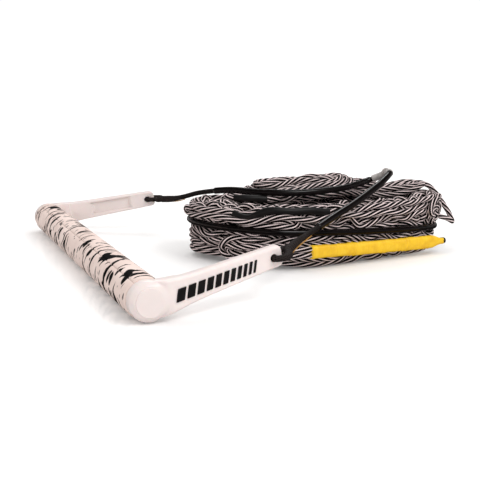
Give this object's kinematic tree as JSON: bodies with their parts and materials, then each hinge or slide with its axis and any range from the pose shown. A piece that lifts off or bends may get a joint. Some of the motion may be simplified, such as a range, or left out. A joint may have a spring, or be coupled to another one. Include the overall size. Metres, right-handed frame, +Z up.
{
  "type": "tow rope handle",
  "caption": "Water sports tow handle: foam-covered bar between two moulded arms, a spliced rope bridle, and a coiled tow line with a sleeved boat loop.",
  "frame": {"origin": "on the ground, straight below the middle of the bar, which rests on the ground", "axes": "+X from the bar towards the rope, +Y along the bar towards the far arm, +Z up"},
  "size_m": [0.3727, 0.381, 0.0785],
  "materials": {
    "tube_metal": "brushed",
    "grip_eva": "matte foam with dark flecks",
    "float_foam": "matte foam",
    "arm_plastic": "satin",
    "stripe_plastic": "satin",
    "seal_rubber": "matte",
    "pin_steel": "plain",
    "bridle_braid": "braided",
    "stitch_thread": "twisted thread",
    "sheath_black": "gloss",
    "sleeve_grey": "translucent",
    "line_braid": "braided with pale spiral tracers",
    "id_sleeve_black": "satin",
    "sleeve_yellow": "coated fabric"
  },
  "bodies": {
    "line": {"lower_turns": "line_braid", "middle_turns": "line_braid", "upper_turns": "line_braid", "crown_turns": "line_braid", "coated_turn": "sheath_black", "loose_turn": "line_braid", "tail_lead": "line_braid", "link_loop": "bridle_braid", "id_sleeve_front": "id_sleeve_black", "id_sleeve_left": "id_sleeve_black", "id_sleeve_right": "id_sleeve_black"},
    "bridle": {"bridle_rope": "bridle_braid", "near_eye_splice": "bridle_braid", "far_eye_splice": "bridle_braid", "near_lock_stitch": "stitch_thread", "far_lock_stitch": "stitch_thread", "near_sheath": "sheath_black", "far_sheath": "sheath_black", "apex_sleeve": "sleeve_grey"},
    "handle": {"core_tube": "tube_metal", "grip_foam": "grip_eva", "float_core": "float_foam", "near_arm": "arm_plastic", "far_arm": "arm_plastic", "near_seal": "seal_rubber", "far_seal": "seal_rubber", "near_pin": "pin_steel", "far_pin": "pin_steel", "near_stripes": "stripe_plastic", "far_stripes": "stripe_plastic"},
    "boat_loop": {"loop_sleeve": "sleeve_yellow", "pylon_loop": "line_braid"}
  },
  "joints": [
    {"name": "bridle_lift", "type": "hinge", "parent": "line", "child": "bridle", "pos_m": [0.275, -0.005, 0.0713], "axis": [0, 1, 0], "range_deg": [0, 75]},
    {"name": "handle_swing", "type": "hinge", "parent": "bridle", "child": "handle", "pos_m": [0.09424, 0, 0.03252], "axis": [0, 1, 0], "range_deg": [0, 110]},
    {"name": "boat_loop_swing", "type": "hinge", "parent": "line", "child": "boat_loop", "pos_m": [0.16773, -0.07228, 0.0132], "axis": [0, 0, 1], "range_deg": [-40, 0]}
  ]
}
